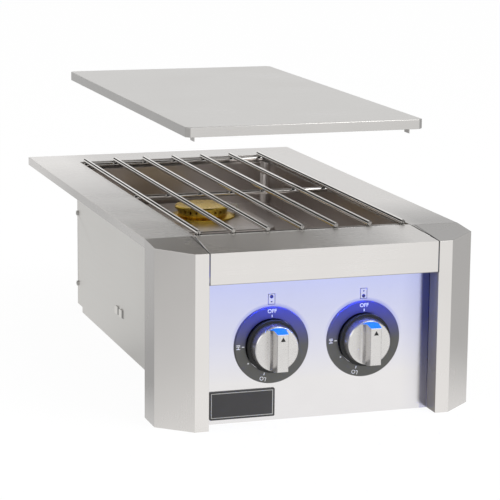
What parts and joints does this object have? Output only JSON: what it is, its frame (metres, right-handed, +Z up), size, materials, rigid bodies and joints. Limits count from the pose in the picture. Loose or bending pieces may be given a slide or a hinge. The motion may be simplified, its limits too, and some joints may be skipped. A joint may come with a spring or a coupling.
{
  "type": "built-in double side burner",
  "caption": "Drop-in stainless gas side burner with two burners in line, rod grate, lift-off lid and lit control panel.",
  "frame": {"origin": "middle of the overall box in X and Y, at the bottom of the box and posts", "axes": "+X to the user's right, +Y from the knobs to the rear, +Z up"},
  "size_m": [0.381, 0.702, 0.3325],
  "materials": {
    "frame_steel": "brushed stainless sheet",
    "panel_steel": "polished stainless sheet",
    "badge_dark": "dark satin plate with a light border",
    "lens_plastic": "clear lens lit blue",
    "strip_board": "white strip with blue light emitting diodes",
    "box_steel": "plain stainless sheet",
    "liner_steel": "stainless sheet, slightly heat-tinted",
    "burner_brass": "cast and turned brass",
    "valve_brass": "machined brass",
    "stem_steel": "turned steel",
    "tube_steel": "drawn steel tube",
    "ceramic": "white glazed ceramic with a steel wire",
    "wire_rubber": "silicone insulation",
    "bezel_metal": "dark satin ring with a printed dial",
    "knob_metal": "satin cast metal",
    "hub_plastic": "black phenolic",
    "rod_steel": "polished round bar",
    "lid_steel": "brushed stainless sheet"
  },
  "bodies": {
    "housing": {"top_frame": "frame_steel", "left_corner_post": "frame_steel", "right_corner_post": "frame_steel", "left_post_bracket": "box_steel", "right_post_bracket": "box_steel", "front_header": "frame_steel", "control_panel": "panel_steel", "badge_plate": "badge_dark", "lamp_lens": "lens_plastic", "lamp_strip": "strip_board", "left_side_panel": "box_steel", "right_side_panel": "box_steel", "rear_panel": "box_steel", "bottom_panel": "box_steel", "burner_liner": "liner_steel", "heat_shield": "box_steel", "gas_manifold": "tube_steel", "gas_feed_pipe": "tube_steel", "gas_inlet_nipple": "valve_brass", "valve_spacers": "stem_steel", "valve_screws": "stem_steel", "side_screws": "stem_steel", "rear_burner_plate": "liner_steel", "rear_burner_base": "burner_brass", "rear_electrode": "ceramic", "rear_mixer_tube": "tube_steel", "rear_air_shutter": "tube_steel", "rear_gas_valve": "valve_brass", "rear_orifice_jet": "valve_brass", "rear_return_spring": "stem_steel", "rear_knob_bezel": "bezel_metal", "rear_igniter_wire": "wire_rubber", "front_burner_plate": "liner_steel", "front_burner_base": "burner_brass", "front_electrode": "ceramic", "front_mixer_tube": "tube_steel", "front_air_shutter": "tube_steel", "front_gas_valve": "valve_brass", "front_orifice_jet": "valve_brass", "front_return_spring": "stem_steel", "front_knob_bezel": "bezel_metal", "front_igniter_wire": "wire_rubber"},
    "lid": {"lid_panel": "lid_steel", "lid_tabs": "lid_steel"},
    "grate": {"grate_long_rods": "rod_steel", "grate_cross_rods": "rod_steel"},
    "rear_cap": {"rear_burner_cap": "burner_brass"},
    "rear_push": {"rear_stem_collar": "valve_brass"},
    "rear_turn": {"rear_knob": "knob_metal", "rear_knob_hub": "hub_plastic", "rear_valve_stem": "stem_steel"},
    "front_cap": {"front_burner_cap": "burner_brass"},
    "front_push": {"front_stem_collar": "valve_brass"},
    "front_turn": {"front_knob": "knob_metal", "front_knob_hub": "hub_plastic", "front_valve_stem": "stem_steel"}
  },
  "joints": [
    {"name": "lid_lift", "type": "slide", "parent": "housing", "child": "lid", "axis": [0, 0, 1], "range_m": [-0.1127, 0]},
    {"name": "grate_lift", "type": "slide", "parent": "housing", "child": "grate", "axis": [0, 0, 1], "range_m": [0, 0.08]},
    {"name": "rear_cap_lift", "type": "slide", "parent": "housing", "child": "rear_cap", "axis": [0, 0, 1], "range_m": [0, 0.025]},
    {"name": "front_cap_lift", "type": "slide", "parent": "housing", "child": "front_cap", "axis": [0, 0, 1], "range_m": [0, 0.025]},
    {"name": "rear_knob_push", "type": "slide", "parent": "housing", "child": "rear_push", "axis": [0, 1, 0], "range_m": [0, 0.004], "stiffness_N_per_m": 1200, "springref_m": -0.003, "deforming": ["rear_return_spring"]},
    {"name": "rear_knob_turn", "type": "hinge", "parent": "rear_push", "child": "rear_turn", "pos_m": [-0.0555, -0.309, 0.088], "axis": [0, -1, 0], "range_deg": [0, 165]},
    {"name": "front_knob_push", "type": "slide", "parent": "housing", "child": "front_push", "axis": [0, 1, 0], "range_m": [0, 0.004], "stiffness_N_per_m": 1200, "springref_m": -0.003, "deforming": ["front_return_spring"]},
    {"name": "front_knob_turn", "type": "hinge", "parent": "front_push", "child": "front_turn", "pos_m": [0.0555, -0.309, 0.088], "axis": [0, -1, 0], "range_deg": [0, 165]}
  ]
}
